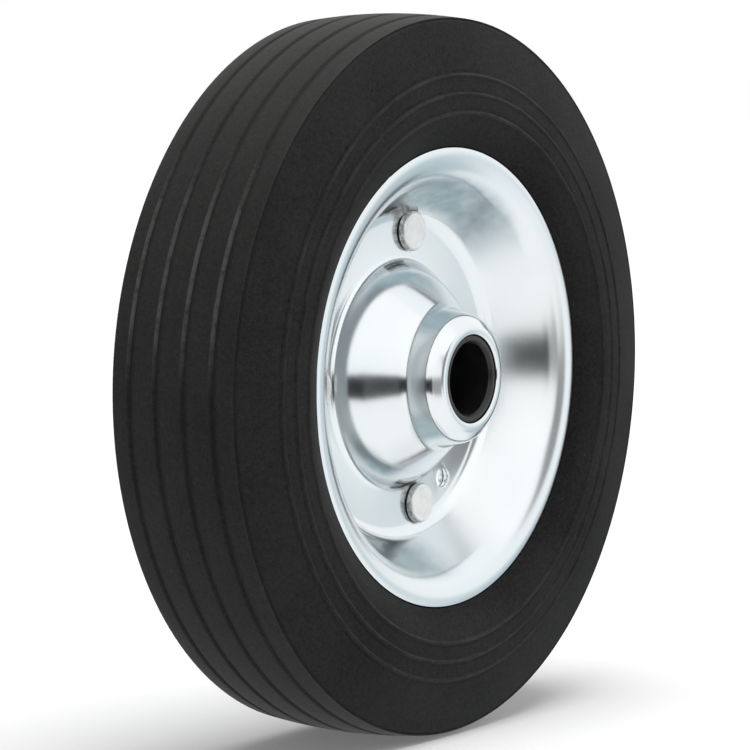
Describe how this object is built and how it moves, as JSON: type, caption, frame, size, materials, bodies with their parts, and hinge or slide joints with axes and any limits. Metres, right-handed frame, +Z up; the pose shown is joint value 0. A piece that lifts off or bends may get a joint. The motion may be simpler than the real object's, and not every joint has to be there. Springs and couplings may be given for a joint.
{
  "type": "rubber trolley wheel",
  "caption": "Solid rubber wheel with a grooved tread on a riveted, dished zinc-plated steel rim, with a domed hub and a plain plastic bush.",
  "frame": {"origin": "the wheel's centre, on the axle line and in the middle plane between the two rim halves", "axes": "+Y along the axle line from the front hub face to the back one, so the wheel turns about Y; +Z up; the front faces -Y"},
  "size_m": [0.2, 0.054, 0.2],
  "materials": {
    "rubber": "matte",
    "zinc_plate": "gloss",
    "bush_plastic": "matte",
    "rivet_steel": "satin"
  },
  "bodies": {
    "root": {"tyre": "rubber", "rim_half_front": "zinc_plate", "rim_half_back": "zinc_plate", "bush": "bush_plastic", "rivet_1": "rivet_steel", "rivet_2": "rivet_steel", "rivet_3": "rivet_steel"}
  },
  "joints": []
}
